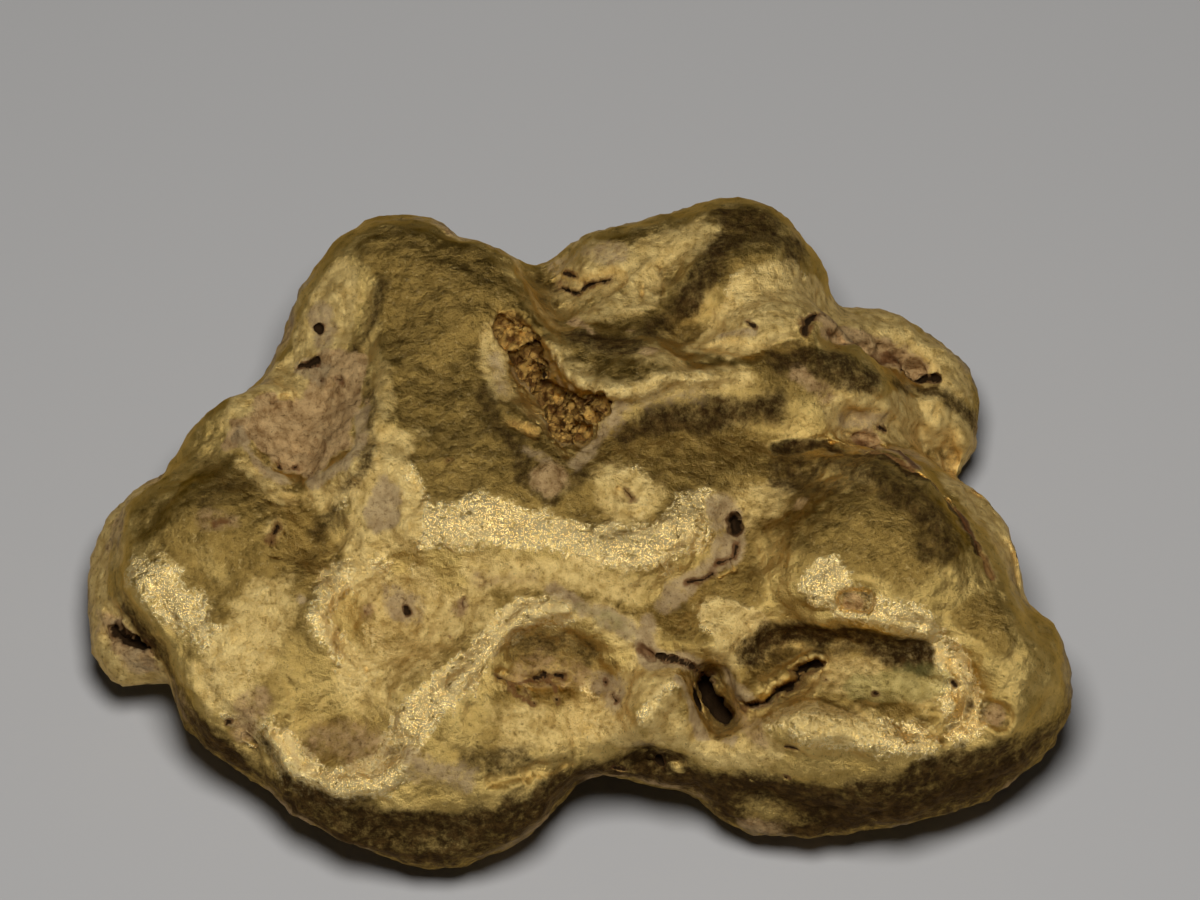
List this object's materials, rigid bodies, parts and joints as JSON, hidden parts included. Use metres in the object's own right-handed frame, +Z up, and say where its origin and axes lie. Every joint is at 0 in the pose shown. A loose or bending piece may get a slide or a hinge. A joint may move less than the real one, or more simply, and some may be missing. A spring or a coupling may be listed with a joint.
{
  "type": "gold nugget",
  "caption": "Water-worn native gold nugget: a broad lobed lump with shallow basins, worn ridges, ragged cavities and a knobby arm, lying flat on small natural feet.",
  "frame": {"origin": "on the resting surface, under the middle of the nugget's bounding box", "axes": "+X along the nugget's length towards its broad hollowed lobe, +Y away from its worn face, +Z up from the surface it rests on"},
  "size_m": [0.0328, 0.0231, 0.0096],
  "materials": {
    "native_gold": "satin"
  },
  "bodies": {
    "root": {"nugget": "native_gold"}
  },
  "joints": []
}
